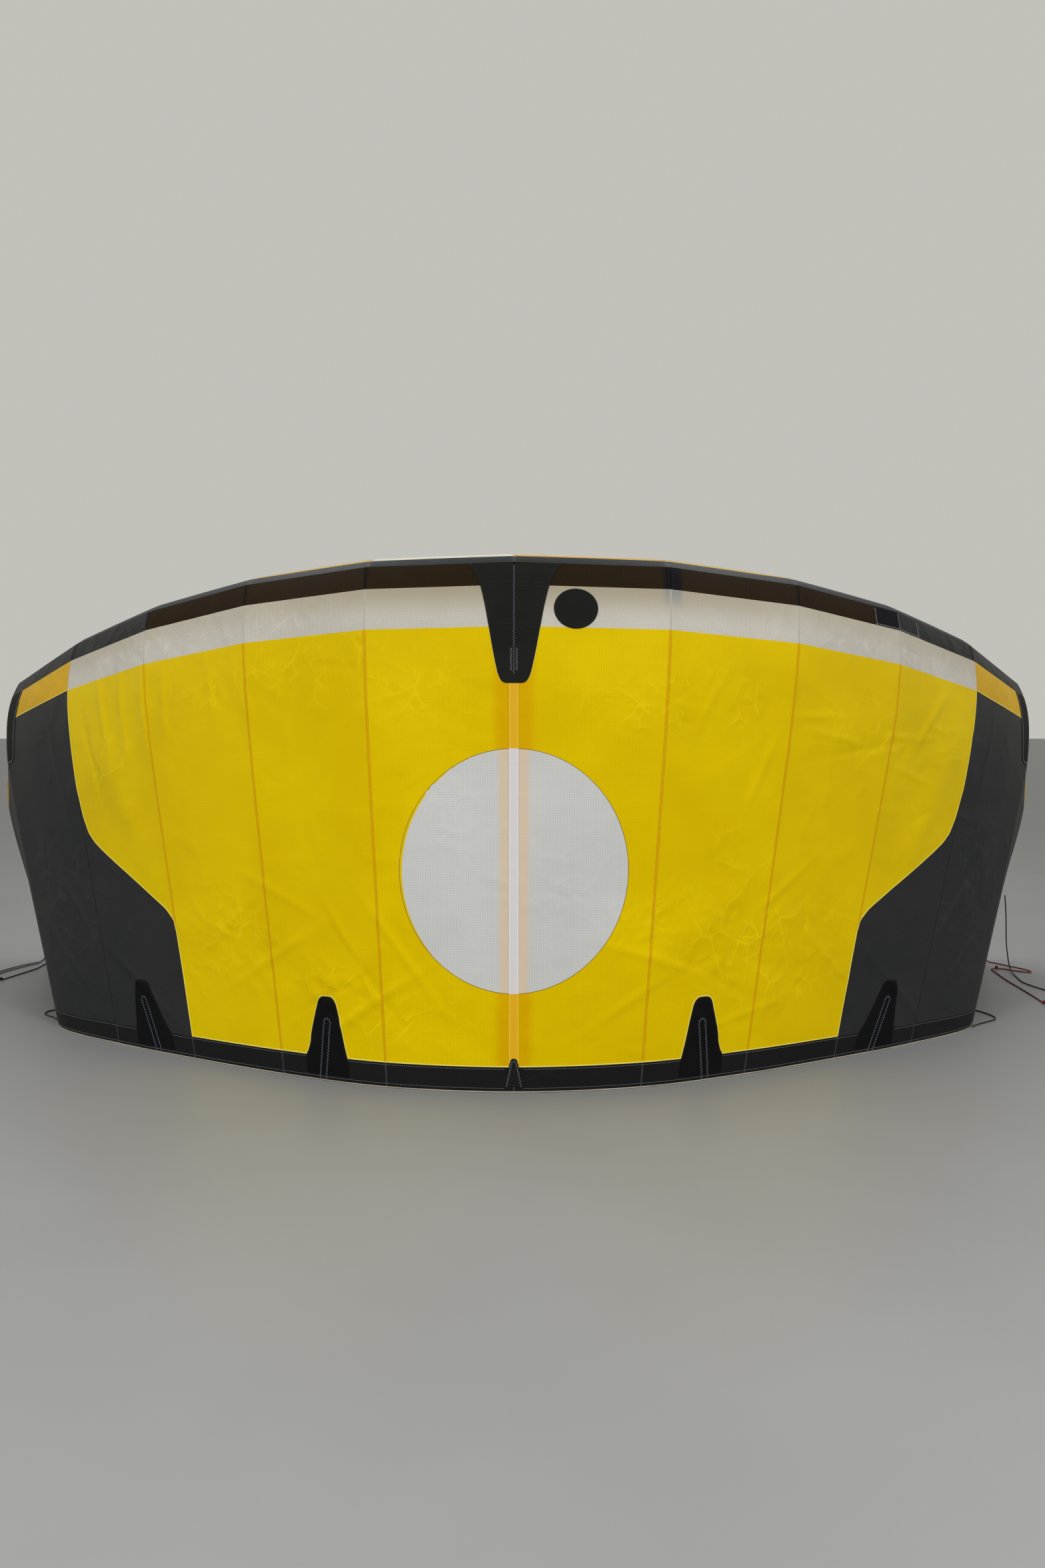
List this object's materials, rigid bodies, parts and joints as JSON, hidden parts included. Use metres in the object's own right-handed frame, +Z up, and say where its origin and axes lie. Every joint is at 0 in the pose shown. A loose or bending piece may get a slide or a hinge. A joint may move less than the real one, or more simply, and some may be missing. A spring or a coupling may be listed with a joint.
{
  "type": "kitesurfing kite",
  "caption": "Inflatable kitesurfing kite standing on its trailing edge, with a curved leading edge tube, struts behind a sewn ripstop canopy and short lines at the wing tips.",
  "frame": {"origin": "on the floor under the middle of the kite, its lines left out", "axes": "+X along the span towards the right wing tip as seen from the convex side, +Y from the convex side to the hollow side, +Z up"},
  "size_m": [4.3392, 1.8265, 1.5624],
  "materials": {
    "tube_fabric": "woven polyester, matt",
    "strut_fabric": "woven polyester, matt",
    "yellow_cloth": "ripstop, slight sheen",
    "white_cloth": "ripstop, slight sheen",
    "side_cloth": "ripstop, slight sheen",
    "strip_cloth": "ripstop, slight sheen",
    "hem_cloth": "woven polyester, matt",
    "patch_cloth": "stiff woven patch, matt",
    "grey_line": "braided",
    "black_line": "braided",
    "red_line": "braided"
  },
  "bodies": {
    "root": {"left_trailing_strip": "hem_cloth", "left_yellow_panel_1": "yellow_cloth", "left_yellow_panel_2": "yellow_cloth", "left_yellow_panel_3": "yellow_cloth", "left_yellow_panel_4": "yellow_cloth", "left_side_panel": "side_cloth", "left_white_band": "white_cloth", "left_yellow_band": "yellow_cloth", "left_leading_strip_inner": "strip_cloth", "left_leading_strip_outer": "strip_cloth", "left_tip_trailing_strip": "hem_cloth", "left_tip_panel": "side_cloth", "left_tip_band": "yellow_cloth", "left_tip_leading_strip": "strip_cloth", "left_batten_patch_inner": "patch_cloth", "left_batten_patch_outer": "patch_cloth", "left_strut_strip": "patch_cloth", "left_tube_1": "tube_fabric", "left_tube_2": "tube_fabric", "left_tube_3": "tube_fabric", "left_tube_4": "tube_fabric", "left_tube_5": "tube_fabric", "left_tube_tip": "tube_fabric", "left_strut": "strut_fabric", "right_trailing_strip": "hem_cloth", "right_yellow_panel_1": "yellow_cloth", "right_yellow_panel_2": "yellow_cloth", "right_yellow_panel_3": "yellow_cloth", "right_yellow_panel_4": "yellow_cloth", "right_side_panel": "side_cloth", "right_white_band": "white_cloth", "right_yellow_band": "yellow_cloth", "right_leading_strip_inner": "strip_cloth", "right_leading_strip_outer": "strip_cloth", "right_tip_trailing_strip": "hem_cloth", "right_tip_panel": "side_cloth", "right_tip_band": "yellow_cloth", "right_tip_leading_strip": "strip_cloth", "right_batten_patch_inner": "patch_cloth", "right_batten_patch_outer": "patch_cloth", "right_strut_strip": "patch_cloth", "right_tube_1": "tube_fabric", "right_tube_2": "tube_fabric", "right_tube_3": "tube_fabric", "right_tube_4": "tube_fabric", "right_tube_5": "tube_fabric", "right_tube_tip": "tube_fabric", "right_strut": "strut_fabric", "centre_disc": "white_cloth", "centre_strut": "strut_fabric", "centre_patch": "patch_cloth", "centre_hem_patch": "patch_cloth", "round_patch": "patch_cloth", "left_bridle_line": "grey_line", "left_pigtail": "black_line", "left_edge_loop": "black_line", "right_bridle_line": "red_line", "right_black_line": "black_line", "right_edge_loop": "black_line"}
  },
  "joints": []
}
